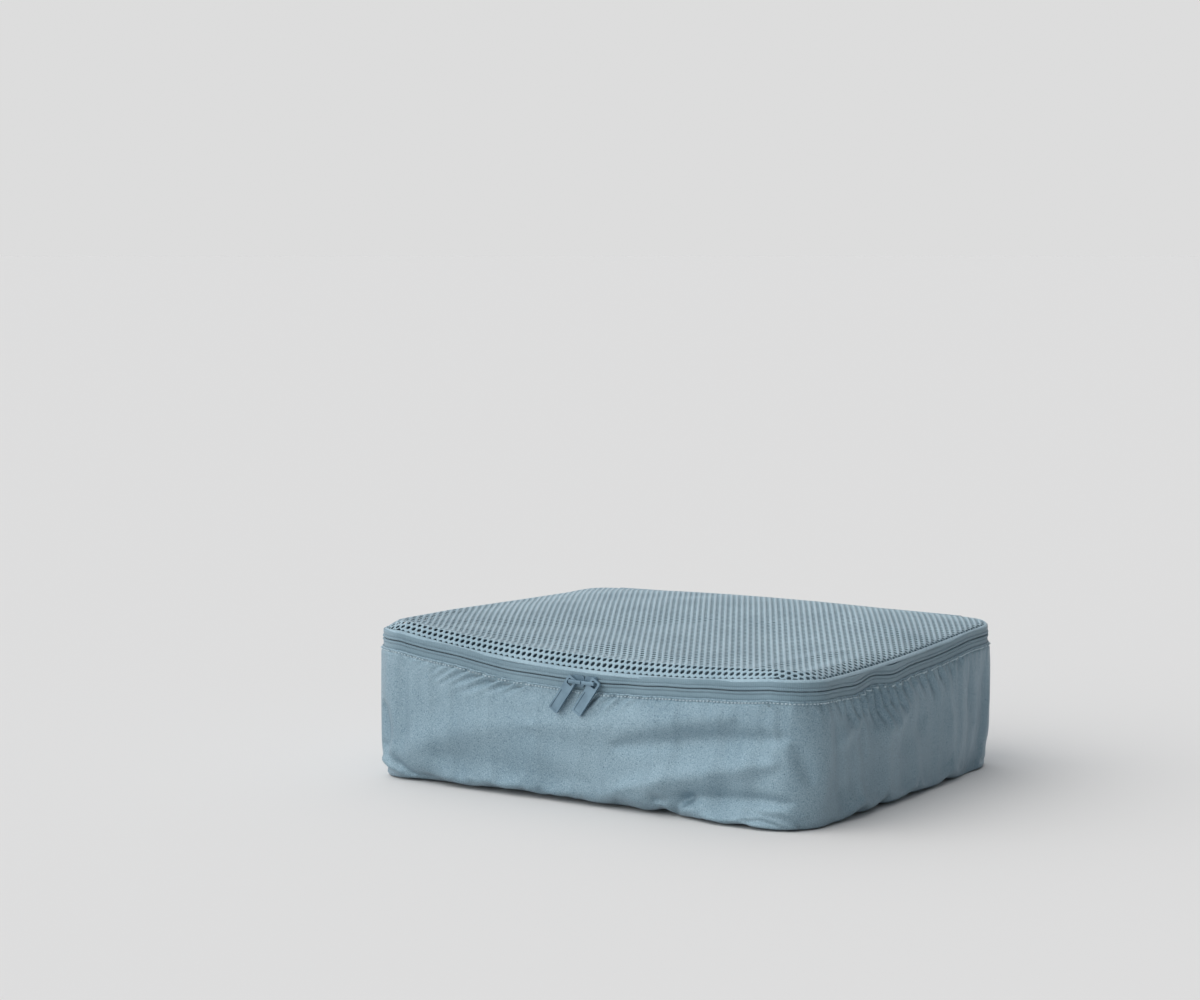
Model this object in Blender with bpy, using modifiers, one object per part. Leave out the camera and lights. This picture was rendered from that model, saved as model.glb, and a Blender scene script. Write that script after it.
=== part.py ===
"""Packing cube: a soft fabric case with a mesh lid, closed by a two-slider zip on three sides.

X runs along the front, the front faces -Y and Z is up. The origin is on the ground, under the middle.
"""

import math

import bmesh
import bpy
from mathutils import Matrix, Vector

# Overall sizes, in metres, measured at the zip.
CUBE_LENGTH = 0.400
CUBE_DEPTH = 0.325
CORNER_RADIUS = 0.032
ZIP_HEIGHT = 0.111

# How the slack rim hangs: an arc along the front, and a shallow dip along each side.
RIM_LOW_X = 0.030
RIM_LOW_DROP = 0.016
FRONT_RIM_RADIUS = 1.200
SIDE_RIM_SAG = 0.004

# Fabric walls.
WALL_THICKNESS = 0.0012
WALL_BULGE = 0.009
WALL_TUCK = 0.005
CORNER_BULGE_SHARE = 0.4
BELLY_HEIGHT_POWER = 0.7
BASE_THICKNESS = 0.0012

# Zip, measured from the line where its two halves meet.
TAPE_THICKNESS = 0.0006
TAPE_EDGE = 0.0005
LOWER_TAPE_WIDTH = 0.0115
LOWER_TAPE_SHOWN = 0.0065
COIL_RADIUS = 0.0011
LID_RISE = 0.008
END_TAB_STEPS = 2
END_TAB_THICKNESS = 0.0015

# Lid.
NET_THICKNESS = 0.0008
NET_CROWN = 0.012
NET_CROWN_POWER = 3

# Seam bindings inside the case.
BINDING_THICKNESS = 0.0010
BINDING_WIDTH = 0.006
BASE_BINDING_SETBACK = 0.003
LID_SEAM_GAP = 0.0012

# Sliders, with their crowns and pull tabs. Sizes across run up the wall.
SLIDERS_MEET_X = 0.0085
SLIDER_LENGTH = 0.0112
SLIDER_WIDTH = 0.0090
SLIDER_NOSE_GAP = 0.0006
OUTER_PLATE_THICKNESS = 0.0014
INNER_PLATE_THICKNESS = 0.0012
NECK_LENGTH = 0.0030
NECK_WIDTH = 0.0005
CROWN_WIRE_RADIUS = 0.0009
CROWN_CLEARANCE = 0.0035
TAB_LENGTH = 0.031
TAB_WIDTH = 0.0090
TAB_THICKNESS = 0.0018
TAB_TOP_RIM = 0.0016
TAB_HOLE_WIDTH = 0.0054
TAB_HOLE_HEIGHT = 0.0049
TAB_HOLE_PLAY = 0.0004
TAB_RECESS_WIDTH = 0.0062
TAB_RECESS_HEIGHT = 0.0165
TAB_RECESS_DEPTH = 0.0005
TAB_SLANT = math.radians(32)
TAB_LEAN = math.radians(8)

# Clearance between pieces that touch.
GAP = 0.0003

# Points closer than this are one point.
MERGE_DISTANCE = 0.00001

# Steps along the outline.
CORNER_STEPS = 6
SIDE_STEPS = 8
FRONT_STEPS = 16
WALL_ROWS = 7

STRAIGHT_X = CUBE_LENGTH / 2 - CORNER_RADIUS
STRAIGHT_Y = CUBE_DEPTH / 2 - CORNER_RADIUS
GUSSET_FACE = GAP + WALL_THICKNESS
COIL_DEPTH = TAPE_THICKNESS + GAP + COIL_RADIUS
OUTER_PLATE_FACE = GAP + OUTER_PLATE_THICKNESS
INNER_PLATE_FACE = COIL_DEPTH + COIL_RADIUS + GAP
CROWN_FACE = OUTER_PLATE_FACE + CROWN_CLEARANCE
TAB_MIDDLE = OUTER_PLATE_FACE + CROWN_CLEARANCE / 2
BACK_PANEL_TOP = ZIP_HEIGHT + LID_RISE - GAP
FRONT_ARC_HEIGHT = ZIP_HEIGHT - RIM_LOW_DROP + FRONT_RIM_RADIUS


# ---------------------------------------------------------------- shapes shared by the pieces

def front_rim_height(x):
    """Height of the zip's line along the front, an arc that ends where the corners begin."""
    across = min(max(x, -STRAIGHT_X), STRAIGHT_X) - RIM_LOW_X
    return FRONT_ARC_HEIGHT - math.sqrt(FRONT_RIM_RADIUS ** 2 - across ** 2)


def rim_height(x, y):
    """Height of the zip's line at a place in plan, level at the back and following the arc at the front."""
    toward_front = min(max(0.5 - y / CUBE_DEPTH, 0.0), 1.0)
    ease = toward_front * toward_front * (3 - 2 * toward_front)
    sag = 4 * SIDE_RIM_SAG * toward_front * (1 - toward_front) * (2 * x / CUBE_LENGTH) ** 2
    return ZIP_HEIGHT + (front_rim_height(x) - ZIP_HEIGHT) * ease - sag


def fullness(x, y):
    """How far the wall swells at a place on the outline: all the way mid-side, less at the corners."""
    along = min(abs(x) / STRAIGHT_X, 1.0) * min(abs(y) / STRAIGHT_Y, 1.0)
    return CORNER_BULGE_SHARE + (1 - CORNER_BULGE_SHARE) * (1 - along ** 4)


def wall_offset(x, y, z):
    """How far the wall's outer face stands out from the zip's plane at a height."""
    top = rim_height(x, y) - LOWER_TAPE_SHOWN
    share = min(max(z / top, 0.0), 1.0)
    swell = (WALL_BULGE * fullness(x, y) - GUSSET_FACE) * math.sin(math.pi * share ** BELLY_HEIGHT_POWER)
    tuck = (WALL_TUCK + GUSSET_FACE) * (1 - share) ** 6
    return GUSSET_FACE + swell - tuck


def outline_stations(closed):
    """Points of the zip's plan outline with their outward directions, from back left round the front."""
    corners = (
        (-STRAIGHT_X, STRAIGHT_Y, 90, CORNER_STEPS),
        (-STRAIGHT_X, -STRAIGHT_Y, 180, CORNER_STEPS),
        (STRAIGHT_X, -STRAIGHT_Y, 270, CORNER_STEPS),
        (STRAIGHT_X, STRAIGHT_Y, 0, CORNER_STEPS),
    )
    straight_steps = (SIDE_STEPS, FRONT_STEPS, SIDE_STEPS)
    stations = []
    for number, (centre_x, centre_y, start, steps) in enumerate(corners):
        for step in range(steps + 1):
            angle = math.radians(start + 90 * step / steps)
            out = Vector((math.cos(angle), math.sin(angle)))
            stations.append((Vector((centre_x, centre_y)) + CORNER_RADIUS * out, out))
        if number < 3:
            add_straight(stations, corners[number + 1], straight_steps[number])
    if closed:
        add_straight(stations, corners[0], FRONT_STEPS)
        stations.append(stations[0])
    return stations


def add_straight(stations, next_corner, steps):
    """Adds the points between the last station and the start of the next corner."""
    first, out = stations[-1]
    centre_x, centre_y, start, _ = next_corner
    angle = math.radians(start)
    last = Vector((centre_x, centre_y)) + CORNER_RADIUS * Vector((math.cos(angle), math.sin(angle)))
    for step in range(1, steps):
        stations.append((first.lerp(last, step / steps), out))


def shortened(stations, start_gap, end_gap):
    """The same stations with the two end points moved in along the path."""
    result = list(stations)
    first, out = result[0]
    result[0] = (first + (result[1][0] - first).normalized() * start_gap, out)
    last, out = result[-1]
    result[-1] = (last + (result[-2][0] - last).normalized() * end_gap, out)
    return result


# ---------------------------------------------------------------- making objects

def clear_scene():
    for item in list(bpy.data.objects):
        bpy.data.objects.remove(item, do_unlink=True)


def make_material(name, color, roughness, metallic):
    material = bpy.data.materials.new(name)
    material.use_nodes = True
    shader = material.node_tree.nodes["Principled BSDF"]
    shader.inputs["Base Color"].default_value = (*color, 1.0)
    shader.inputs["Roughness"].default_value = roughness
    shader.inputs["Metallic"].default_value = metallic
    return material


def add_object(name, data, material, collection):
    item = bpy.data.objects.new(name, data)
    collection.objects.link(item)
    if not data.materials:
        data.materials.append(material)
    return item


def mesh_from(name, build):
    """A new mesh filled by a function that works on a bmesh."""
    shape = bmesh.new()
    build(shape)
    mesh = bpy.data.meshes.new(name)
    shape.to_mesh(mesh)
    shape.free()
    return mesh


def add_thickness(item, thickness):
    """Solidify towards the inside of an open surface."""
    solid = item.modifiers.new("thickness", "SOLIDIFY")
    solid.thickness = thickness
    solid.offset = -1.0
    solid.use_even_offset = True


def bent_grid(name, columns, rows, place, closed=False):
    """A grid whose points are set by place(column, row)."""
    def build(shape):
        bmesh.ops.create_grid(shape, x_segments=columns, y_segments=rows, size=0.5)
        for vert in shape.verts:
            column = round((vert.co.x + 0.5) * columns)
            row = round((vert.co.y + 0.5) * rows)
            vert.co = place(column, row)
        if closed:
            bmesh.ops.remove_doubles(shape, verts=shape.verts, dist=MERGE_DISTANCE)
    return mesh_from(name, build)


def add_band(name, stations, levels, thickness, material, collection, closed=False):
    """A fabric band round the outline; levels holds (height, offset) functions of a place, lowest first."""
    def place(column, row):
        spot, out = stations[column]
        height = levels[row][0](spot.x, spot.y)
        offset = levels[row][1](spot.x, spot.y, height)
        point = spot + out * offset
        return (point.x, point.y, height)
    mesh = bent_grid(name, len(stations) - 1, len(levels) - 1, place, closed)
    band = add_object(name, mesh, material, collection)
    add_thickness(band, thickness)
    return band


def above_rim(rise):
    """A level that follows the zip's line at a height above it."""
    return lambda x, y: rim_height(x, y) + rise


def fixed_offset(offset):
    """A level that stays one distance from the zip's plane."""
    return lambda x, y, z: offset


def panel_rows(inset):
    """Rows across a panel with the outline's rounded corners: each row's y and half width."""
    radius = CORNER_RADIUS - inset
    rows = []
    for step in range(CORNER_STEPS + 1):
        angle = math.radians(90 * step / CORNER_STEPS)
        rows.append((-STRAIGHT_Y - radius * math.cos(angle), STRAIGHT_X + radius * math.sin(angle)))
    for step in range(1, SIDE_STEPS):
        rows.append((-STRAIGHT_Y + 2 * STRAIGHT_Y * step / SIDE_STEPS, STRAIGHT_X + radius))
    rows += [(-y, half_width) for y, half_width in reversed(rows[:CORNER_STEPS + 1])]
    return rows


def add_panel(name, inset, height, thickness, material, collection):
    """A flat or crowned panel; height(x, y, edge) gives its upper face, and edge is 0 at the rim."""
    rows = panel_rows(inset)

    def place(column, row):
        y, half_width = rows[row]
        across = 2 * column / FRONT_STEPS - 1
        edge = (1 - across ** 2) * (1 - (y / rows[-1][0]) ** 2)
        x = half_width * across
        return (x, y, height(x, y, edge))
    panel = add_object(name, bent_grid(name, FRONT_STEPS, len(rows) - 1, place), material, collection)
    add_thickness(panel, thickness)
    return panel


def block(shape, size, middle):
    """Adds a box to a bmesh."""
    place = Matrix.Translation(middle) @ Matrix.Diagonal((*size, 1.0))
    bmesh.ops.create_cube(shape, size=1.0, matrix=place)


def round_corners(shape, radius):
    """Rounds the block's four corners that run through its thickness, along Y."""
    through = [edge for edge in shape.edges if edge.verts[0].co.xz == edge.verts[1].co.xz]
    bmesh.ops.bevel(shape, geom=through, offset=radius, segments=3, profile=0.5, affect="EDGES")


def add_wire(name, points, radius, material, collection):
    """A round wire through points, with closed ends."""
    curve = bpy.data.curves.new(name, "CURVE")
    curve.dimensions = "3D"
    curve.bevel_depth = radius
    curve.bevel_resolution = 2
    curve.use_fill_caps = True
    spline = curve.splines.new("POLY")
    spline.points.add(len(points) - 1)
    for spot, point in zip(spline.points, points):
        spot.co = (*point, 1.0)
    return add_object(name, curve, material, collection)


def boolean(item, operation, other):
    step = item.modifiers.new(operation.lower(), "BOOLEAN")
    step.operation = operation
    step.solver = "EXACT"
    step.object = other


def finished_mesh(item, name):
    """The mesh of an object with its modifiers applied, for copies to share."""
    bpy.context.view_layer.update()
    evaluated = item.evaluated_get(bpy.context.evaluated_depsgraph_get())
    mesh = bpy.data.meshes.new_from_object(evaluated)
    mesh.name = name
    return mesh


def add_helper(name, mesh, collection):
    """An object that only cuts or joins another."""
    item = bpy.data.objects.new(name, mesh)
    collection.objects.link(item)
    item.hide_render = True
    item.display_type = "WIRE"
    return item


# ---------------------------------------------------------------- the case

def add_case(look, collection):
    around_front = outline_stations(closed=False)
    all_round = outline_stations(closed=True)
    wall_bottom = GAP

    def wall_level(share, lift):
        return lambda x, y: wall_bottom + (rim_height(x, y) + lift - wall_bottom) * share

    gusset_levels = []
    for row in range(WALL_ROWS + 1):
        gusset_levels.append((wall_level(row / WALL_ROWS, -LOWER_TAPE_SHOWN), wall_offset))
    add_band("gusset", around_front, gusset_levels, WALL_THICKNESS, look["shell"], collection)

    back_columns = FRONT_STEPS

    def back_point(column, row):
        share = row / (WALL_ROWS + 1)
        x = (STRAIGHT_X - GAP) * (1 - 2 * column / back_columns)
        z = wall_bottom + (BACK_PANEL_TOP - wall_bottom) * share
        return (x, CUBE_DEPTH / 2 + wall_offset(x, CUBE_DEPTH / 2, z), z)
    back = bent_grid("back_panel", back_columns, WALL_ROWS + 1, back_point)
    add_thickness(add_object("back_panel", back, look["shell"], collection), WALL_THICKNESS)

    base_inset = WALL_TUCK + WALL_THICKNESS + GAP

    def base_height(x, y, edge):
        return BASE_THICKNESS

    add_panel("base_panel", base_inset, base_height, BASE_THICKNESS, look["shell"], collection)

    binding_top = BASE_THICKNESS + GAP + BINDING_THICKNESS
    binding_edge = -base_inset - BASE_BINDING_SETBACK
    base_levels = (
        (lambda x, y: binding_top, fixed_offset(binding_edge)),
        (lambda x, y: binding_top, fixed_offset(binding_edge - BINDING_WIDTH)),
    )
    cloth = look["binding"]
    add_band("base_seam_binding", all_round, base_levels, BINDING_THICKNESS, cloth, collection, True)

    half_back = STRAIGHT_X - 2 * GAP
    binding_y = CUBE_DEPTH / 2 + GUSSET_FACE - WALL_THICKNESS - GAP

    def back_binding_point(column, row):
        x = half_back * (1 - 2 * column / back_columns)
        return (x, binding_y, BACK_PANEL_TOP - BINDING_WIDTH * (1 - row))
    back_grid = bent_grid("hinge_seam_binding", back_columns, 1, back_binding_point)
    back_binding = add_object("hinge_seam_binding", back_grid, cloth, collection)
    add_thickness(back_binding, BINDING_THICKNESS)


# ---------------------------------------------------------------- the zip

def add_zip(look, collection):
    around_front = outline_stations(closed=False)
    run = around_front[END_TAB_STEPS:-END_TAB_STEPS]
    tape_top = -TAPE_EDGE
    tape_foot = -TAPE_EDGE - LOWER_TAPE_WIDTH
    lower_levels = ((above_rim(tape_foot), fixed_offset(0.0)), (above_rim(tape_top), fixed_offset(0.0)))
    add_band("zip_tape_lower", run, lower_levels, TAPE_THICKNESS, look["tape"], collection)
    upper_levels = (
        (above_rim(TAPE_EDGE), fixed_offset(0.0)),
        (above_rim(LID_RISE - LID_SEAM_GAP), fixed_offset(0.0)),
    )
    add_band("zip_tape_upper", run, upper_levels, TAPE_THICKNESS, look["tape"], collection)

    coil_lift = TAPE_EDGE + COIL_RADIUS
    for name, lift in (("zip_coil_lower", -coil_lift), ("zip_coil_upper", coil_lift)):
        points = []
        for spot, out in run:
            place = spot - out * COIL_DEPTH
            points.append((place.x, place.y, rim_height(spot.x, spot.y) + lift))
        add_wire(name, points, COIL_RADIUS, look["coil"], collection)

    binding_offset = fixed_offset(-TAPE_THICKNESS - GAP)
    lower_binding = (
        (above_rim(tape_foot), binding_offset),
        (above_rim(tape_foot + BINDING_WIDTH), binding_offset),
    )
    add_band("rim_seam_binding", run, lower_binding, BINDING_THICKNESS, look["binding"], collection)
    lid_binding = (
        (above_rim(SLIDER_WIDTH / 2 + 2 * GAP), binding_offset),
        (above_rim(LID_RISE - LID_SEAM_GAP), binding_offset),
    )
    add_band("lid_seam_binding", run, lid_binding, BINDING_THICKNESS, look["binding"], collection)

    tab_levels = (
        (above_rim(tape_foot), fixed_offset(0.0)),
        (above_rim(LID_RISE - LID_SEAM_GAP), fixed_offset(0.0)),
    )
    ends = (
        ("zip_end_tab_left", around_front[:END_TAB_STEPS + 1], 0.0, GAP),
        ("zip_end_tab_right", around_front[-END_TAB_STEPS - 1:], GAP, 0.0),
    )
    for name, stations, start_gap, end_gap in ends:
        stations = shortened(stations, start_gap, end_gap)
        add_band(name, stations, tab_levels, END_TAB_THICKNESS, look["binding"], collection)


# ---------------------------------------------------------------- the lid

def add_lid(look, collection):
    def net_height(x, y, edge):
        crown = NET_CROWN * (1 - (1 - edge) ** NET_CROWN_POWER)
        return rim_height(x, y) + LID_RISE + NET_THICKNESS + crown
    add_panel("lid_net", 0.0, net_height, NET_THICKNESS, look["net"], collection)


# ---------------------------------------------------------------- sliders and pull tabs

def slider_mesh(helpers):
    """Slider: outer and inner plates joined by a neck at the nose, which is at +X."""
    size = Vector((SLIDER_LENGTH, OUTER_PLATE_THICKNESS, SLIDER_WIDTH))
    outer_y = -GAP - OUTER_PLATE_THICKNESS / 2
    inner_y = INNER_PLATE_FACE + INNER_PLATE_THICKNESS / 2

    def outer(shape):
        block(shape, size, (0.0, outer_y, 0.0))
        round_corners(shape, SLIDER_WIDTH / 4)

    def inner(shape):
        block(shape, (SLIDER_LENGTH, INNER_PLATE_THICKNESS, SLIDER_WIDTH), (0.0, inner_y, 0.0))

    def neck(shape):
        reach = inner_y - outer_y
        middle = ((SLIDER_LENGTH - NECK_LENGTH) / 2 - GAP, (inner_y + outer_y) / 2, 0.0)
        block(shape, (NECK_LENGTH, reach, NECK_WIDTH), middle)

    body = add_helper("slider_blank", mesh_from("slider_blank", outer), helpers)
    boolean(body, "UNION", add_helper("slider_neck", mesh_from("slider_neck", neck), helpers))
    inner_plate = mesh_from("slider_inner_plate", inner)
    boolean(body, "UNION", add_helper("slider_inner_plate", inner_plate, helpers))
    return finished_mesh(body, "slider")


def tab_mesh(helpers):
    """Pull tab hanging down -Z from its hole, whose pivot is the origin, with a plain recess outside."""
    top = CROWN_WIRE_RADIUS + TAB_HOLE_PLAY + TAB_TOP_RIM
    hole_top = CROWN_WIRE_RADIUS + TAB_HOLE_PLAY
    foot = top - TAB_LENGTH

    def plate(shape):
        block(shape, (TAB_WIDTH, TAB_THICKNESS, TAB_LENGTH), (0.0, 0.0, (top + foot) / 2))
        round_corners(shape, TAB_WIDTH / 6)

    def hole(shape):
        size = (TAB_HOLE_WIDTH, 2 * TAB_THICKNESS, TAB_HOLE_HEIGHT)
        block(shape, size, (0.0, 0.0, hole_top - TAB_HOLE_HEIGHT / 2))
        round_corners(shape, TAB_HOLE_WIDTH / 4)

    def recess(shape):
        side_margin = (TAB_WIDTH - TAB_RECESS_WIDTH) / 2
        middle = (0.0, -TAB_THICKNESS / 2, foot + side_margin + TAB_RECESS_HEIGHT / 2)
        block(shape, (TAB_RECESS_WIDTH, 2 * TAB_RECESS_DEPTH, TAB_RECESS_HEIGHT), middle)

    blank = add_helper("tab_blank", mesh_from("tab_blank", plate), helpers)
    boolean(blank, "DIFFERENCE", add_helper("tab_hole", mesh_from("tab_hole", hole), helpers))
    boolean(blank, "DIFFERENCE", add_helper("tab_recess", mesh_from("tab_recess", recess), helpers))
    return finished_mesh(blank, "tab")


def crown_points():
    """The crown's wire: a foot at each end of the slider's plate and a bar between them."""
    half = SLIDER_LENGTH / 2 - CROWN_WIRE_RADIUS
    bend = CROWN_WIRE_RADIUS
    bar = -CROWN_FACE - CROWN_WIRE_RADIUS
    foot = -OUTER_PLATE_FACE - GAP
    corner = []
    for step in range(5):
        angle = math.radians(90 * step / 4)
        corner.append((half - bend + bend * math.cos(angle), bar + bend - bend * math.sin(angle)))
    side = [(half, foot)] + corner
    points = [(x, y, 0.0) for x, y in side]
    points += [(-x, y, 0.0) for x, y in reversed(side)]
    return points


def add_sliders(look, collection, helpers):
    slider = slider_mesh(helpers)
    tab = tab_mesh(helpers)
    front = -CUBE_DEPTH / 2
    tab_x = SLIDER_LENGTH / 2 - CROWN_WIRE_RADIUS
    for side, turn, reach in (("left", 0.0, -1), ("right", math.pi, 1)):
        middle_x = SLIDERS_MEET_X + reach * (SLIDER_LENGTH + SLIDER_NOSE_GAP) / 2
        swing = math.asin((middle_x - RIM_LOW_X) / FRONT_RIM_RADIUS)
        run = bpy.data.objects.new("slider_run_" + side, None)
        collection.objects.link(run)
        run.location = (RIM_LOW_X, front, FRONT_ARC_HEIGHT)
        run.rotation_euler = (0.0, -swing, 0.0)

        body = add_object("slider_" + side, slider, look["metal"], collection)
        body.parent = run
        body.location = (0.0, 0.0, -FRONT_RIM_RADIUS)
        body.rotation_euler = (0.0, turn, 0.0)

        wire = crown_points()
        crown = add_wire("slider_crown_" + side, wire, CROWN_WIRE_RADIUS, look["metal"], collection)
        crown.parent = run
        crown.location = (0.0, 0.0, -FRONT_RIM_RADIUS)

        pull = add_object("pull_tab_" + side, tab, look["metal"], collection)
        pull.parent = run
        pull.location = (reach * tab_x, -TAB_MIDDLE, -FRONT_RIM_RADIUS)
        lean = Matrix.Rotation(-TAB_LEAN, 3, "X")
        slant = Matrix.Rotation(TAB_SLANT + swing, 3, "Y")
        pull.rotation_euler = (lean @ slant).to_euler()


def main():
    clear_scene()
    collection = bpy.data.collections.new("packing_cube")
    helpers = bpy.data.collections.new("cutters")
    bpy.context.scene.collection.children.link(collection)
    bpy.context.scene.collection.children.link(helpers)
    look = {
        "shell": make_material("satin_nylon", (0.28, 0.40, 0.47), 0.45, 0.0),
        "net": make_material("polyester_net", (0.27, 0.39, 0.46), 0.6, 0.0),
        "tape": make_material("zip_tape", (0.22, 0.34, 0.41), 0.7, 0.0),
        "coil": make_material("zip_coil", (0.20, 0.31, 0.38), 0.5, 0.0),
        "binding": make_material("seam_binding", (0.20, 0.31, 0.37), 0.8, 0.0),
        "metal": make_material("painted_zinc", (0.23, 0.35, 0.43), 0.4, 0.1),
    }
    add_case(look, collection)
    add_zip(look, collection)
    add_lid(look, collection)
    add_sliders(look, collection, helpers)


main()
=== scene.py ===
import math
import random
import time

import bmesh
import bpy
import numpy as np
from mathutils import Matrix, Vector


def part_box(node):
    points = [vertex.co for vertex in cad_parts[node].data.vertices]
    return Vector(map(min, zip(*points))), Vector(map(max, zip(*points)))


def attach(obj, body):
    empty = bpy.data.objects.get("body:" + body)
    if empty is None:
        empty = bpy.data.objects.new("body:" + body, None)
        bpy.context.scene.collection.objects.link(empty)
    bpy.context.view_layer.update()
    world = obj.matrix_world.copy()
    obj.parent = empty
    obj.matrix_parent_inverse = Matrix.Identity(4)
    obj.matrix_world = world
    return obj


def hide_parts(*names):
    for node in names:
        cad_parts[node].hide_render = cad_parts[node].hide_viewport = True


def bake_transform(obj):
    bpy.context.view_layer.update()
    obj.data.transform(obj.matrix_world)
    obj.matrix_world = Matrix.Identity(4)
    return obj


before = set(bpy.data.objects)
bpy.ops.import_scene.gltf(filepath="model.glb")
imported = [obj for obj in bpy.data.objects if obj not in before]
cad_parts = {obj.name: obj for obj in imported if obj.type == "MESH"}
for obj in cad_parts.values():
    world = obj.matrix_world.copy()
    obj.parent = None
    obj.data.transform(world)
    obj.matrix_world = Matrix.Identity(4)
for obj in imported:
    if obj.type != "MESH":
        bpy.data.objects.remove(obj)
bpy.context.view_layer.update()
scene = bpy.context.scene
chance = random.Random(7)
begun = time.time()

# the zip's line, which every sewn piece follows

tapeLow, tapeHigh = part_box("zip_tape_lower")
wallLow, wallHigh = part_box("gusset")
backLow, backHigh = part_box("back_panel")
cube = {
    "halfLength": tapeHigh.x,
    "halfDepth": -tapeLow.y,
    "cornerRadius": 0.032,
    "backRim": 0.111,          # height of the zip at the back
    "lowX": 0.030,             # where the front rim hangs lowest
    "frontArcHeight": 1.295,   # centre of the front rim's arc
    "frontArcRadius": 1.200,
    "sideSag": 0.004,
    "lidRise": 0.008,
}
radius = cube["cornerRadius"]
straightX = cube["halfLength"] - radius
straightY = cube["halfDepth"] - radius
cornerRun = radius * math.pi / 2
sideStart = straightX + cornerRun
sideEnd = sideStart + 2 * straightY
zipEnd = sideEnd + cornerRun
roundTrip = zipEnd + straightX   # from the front's middle to the back's middle

rimWaves = (  # how the soft rim wanders: place along it, width, lift, push outwards
    (-0.200, 0.020, 0.0010, 0.0004),
    (-0.112, 0.022, 0.0014, 0.0010),
    (-0.062, 0.018, -0.0009, -0.0008),
    (0.046, 0.014, 0.0006, -0.0010),
    (0.080, 0.022, 0.0017, 0.0010),
    (0.116, 0.017, 0.0012, 0.0000),
    (0.256, 0.016, -0.0010, 0.0010),
    (0.287, 0.017, 0.0016, -0.0012),
    (0.318, 0.020, -0.0016, 0.0012),
    (0.390, 0.026, -0.0008, -0.0008),
    (0.450, 0.022, 0.0014, 0.0006),
    (-0.280, 0.022, 0.0012, 0.0012),
    (-0.340, 0.026, -0.0014, -0.0010),
    (-0.430, 0.024, 0.0010, 0.0008),
)


def walk(t):
    # plan place and outward direction, t metres along the zip from the front's middle
    side = np.where(t < 0, -1.0, 1.0)
    a = np.abs(t)
    near = np.clip(a - straightX, 0, cornerRun) / radius
    along = np.clip(a - sideStart, 0, 2 * straightY)
    far = np.clip(a - sideEnd, 0, cornerRun) / radius
    back = np.clip(a - zipEnd, 0, None)
    x = np.minimum(a, straightX) + radius * np.sin(near) - radius * (1 - np.cos(far)) - back
    y = -straightY - radius * np.cos(near) + along + radius * np.sin(far)
    turn = near + far
    return side * x, y, side * np.sin(turn), -np.cos(turn)


def rimHeight(x, y):
    across = np.clip(x, -straightX, straightX) - cube["lowX"]
    front = cube["frontArcHeight"] - np.sqrt(cube["frontArcRadius"] ** 2 - across ** 2)
    toward = np.clip(0.5 - y / (2 * cube["halfDepth"]), 0, 1)
    ease = toward * toward * (3 - 2 * toward)
    sag = 4 * cube["sideSag"] * toward * (1 - toward) * (x / cube["halfLength"]) ** 2
    return cube["backRim"] + (front - cube["backRim"]) * ease - sag


def rimWander(t):
    lift, push = np.zeros_like(t), np.zeros_like(t)
    for place, width, up, out in rimWaves:
        hump = np.exp(-((t - place) / width) ** 2)
        lift += up * hump
        push += out * hump
    return lift, push


def onZip(t, rise, out):
    # points at a height above the zip's line and a distance out of its plane
    x, y, outX, outY = walk(t)
    lift, push = rimWander(t)
    off = out + push
    return np.stack((x + outX * off, y + outY * off, rimHeight(x, y) + lift + rise), axis=-1)


# making pieces

def addPiece(name, bm):
    mesh = bpy.data.meshes.new(name)
    bm.to_mesh(mesh)
    bm.free()
    piece = bpy.data.objects.new(name, mesh)
    scene.collection.objects.link(piece)
    mesh.polygons.foreach_set("use_smooth", [True] * len(mesh.polygons))
    return piece


def bentGrid(name, along, across, place, closed=False):
    # a grid of cloth whose points place(along, across) sets, with its own lengths as the UV map
    bm = bmesh.new()
    bm.loops.layers.uv.new("cloth")
    bmesh.ops.create_grid(bm, x_segments=len(along) - 1, y_segments=len(across) - 1, size=0.5,
                          calc_uvs=True)
    flat = np.array([vert.co[:2] for vert in bm.verts]) + 0.5
    a = np.asarray(along)[np.rint(flat[:, 0] * (len(along) - 1)).astype(int)]
    b = np.asarray(across)[np.rint(flat[:, 1] * (len(across) - 1)).astype(int)]
    uvLayer = bm.loops.layers.uv["cloth"]
    for face in bm.faces:
        for loop in face.loops:
            loop[uvLayer].uv = (a[loop.vert.index], b[loop.vert.index])
    for vert, point in zip(bm.verts, place(a, b)):
        vert.co = point
    if closed:
        bmesh.ops.remove_doubles(bm, verts=bm.verts, dist=0.00002)
    return addPiece(name, bm)


def thicken(piece, thickness, subdivide=0):
    solid = piece.modifiers.new("thickness", "SOLIDIFY")
    solid.thickness = thickness
    solid.offset = -1.0
    if subdivide:
        smooth = piece.modifiers.new("smooth", "SUBSURF")
        smooth.levels = subdivide
        smooth.render_levels = subdivide
    settle(piece)


def settle(piece):
    # the modifiers' result becomes the piece's own mesh
    graph = bpy.context.evaluated_depsgraph_get()
    old = piece.data
    piece.data = bpy.data.meshes.new_from_object(piece.evaluated_get(graph))
    piece.modifiers.clear()
    bpy.data.meshes.remove(old)
    piece.data.name = piece.name


def finishPiece(piece, material, slot, body, *nodes):
    piece.data.materials.clear()
    piece.data.materials.append(material)
    if body:
        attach(piece, body)
    if nodes:
        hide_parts(*nodes)


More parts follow.
